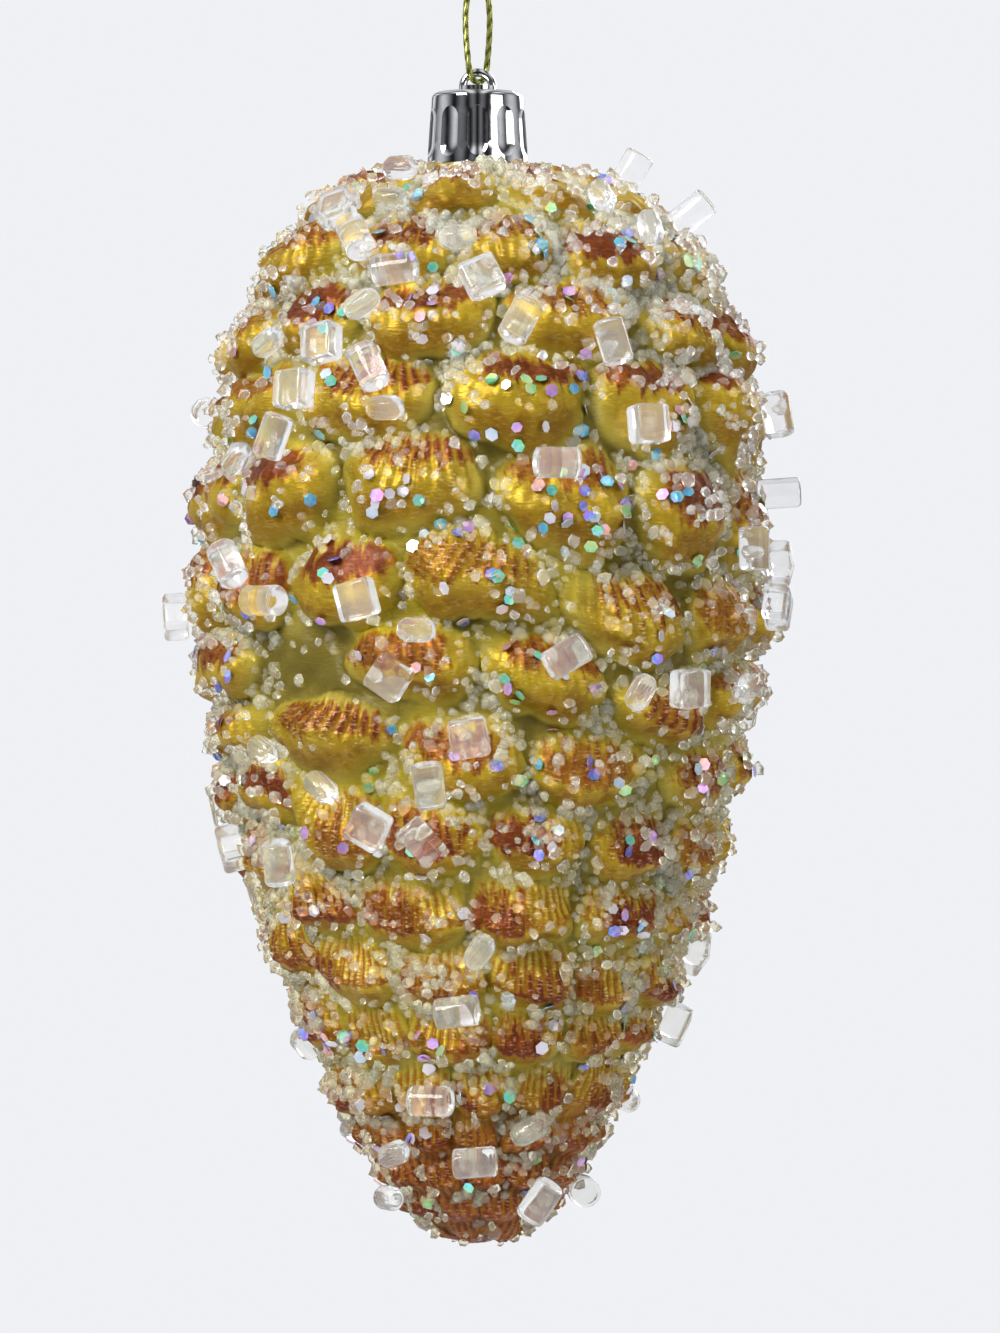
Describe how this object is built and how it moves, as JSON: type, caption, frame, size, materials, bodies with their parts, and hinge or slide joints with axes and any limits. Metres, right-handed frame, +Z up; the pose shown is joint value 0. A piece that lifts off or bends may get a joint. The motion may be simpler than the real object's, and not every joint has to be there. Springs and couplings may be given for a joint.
{
  "type": "pine cone ornament",
  "caption": "Hollow moulded pine cone ornament with overlapping scales, clear cut pellets and grains stuck on them, a fluted crown cap with an eye, and a looped cord to hang it by.",
  "frame": {"origin": "where the cord loop hangs, at the underside of its knot", "axes": "+Z up along the cone, towards its cap and knot; -Y is the front seen in the picture"},
  "size_m": [0.0831, 0.0812, 0.1712],
  "materials": {
    "shell": "olive-gold pearl lacquer with copper-red brushed lips",
    "cap": "bright chrome-plated plastic",
    "cord": "twisted gold-olive metallic thread",
    "pellets": "clear, polished"
  },
  "bodies": {
    "root": {"cone_shell": "shell", "cap": "cap", "hanging_cord": "cord", "cord_knot": "cord", "rod_pellets": "pellets", "block_pellets": "pellets", "oval_pellets": "pellets", "coarse_grains": "pellets"}
  },
  "joints": []
}
